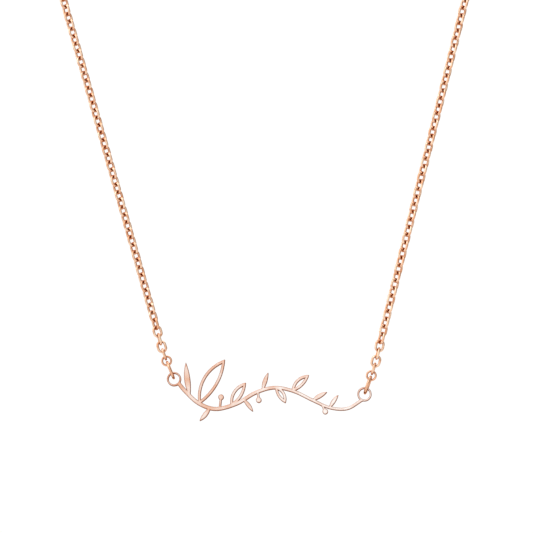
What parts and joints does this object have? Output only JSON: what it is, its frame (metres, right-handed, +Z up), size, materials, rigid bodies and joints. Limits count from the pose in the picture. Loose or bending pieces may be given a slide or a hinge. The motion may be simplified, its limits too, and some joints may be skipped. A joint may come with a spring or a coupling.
{
  "type": "nameplate necklace",
  "caption": "Necklace of oval cable chain with a flat cut-out openwork plate hung level between two jump rings, closed by a clasp at the nape.",
  "frame": {"origin": "middle of the clasp's inner side, where the necklace hangs on the nape of the neck", "axes": "+Z up, +X to the right seen from the front, +Y backwards; the nameplate faces -Y"},
  "size_m": [0.1048, 0.0667, 0.145],
  "materials": {
    "plate_metal": "polished rose gold plate",
    "chain_metal": "polished rose gold plate",
    "ring_metal": "polished rose gold plate"
  },
  "bodies": {
    "necklace": {"jump_ring_left": "ring_metal", "jump_ring_right": "ring_metal", "end_ring_left": "ring_metal", "end_ring_right": "ring_metal", "chain_left": "chain_metal", "chain_right": "chain_metal", "clasp": "ring_metal", "clasp_ring": "ring_metal"},
    "plate": {"nameplate": "plate_metal"}
  },
  "joints": [
    {"name": "plate_swing", "type": "hinge", "parent": "necklace", "child": "plate", "pos_m": [-0.02011, -0.062, -0.13225], "axis": [0.9964, 0, -0.0847], "range_deg": [-70, 70]}
  ]
}
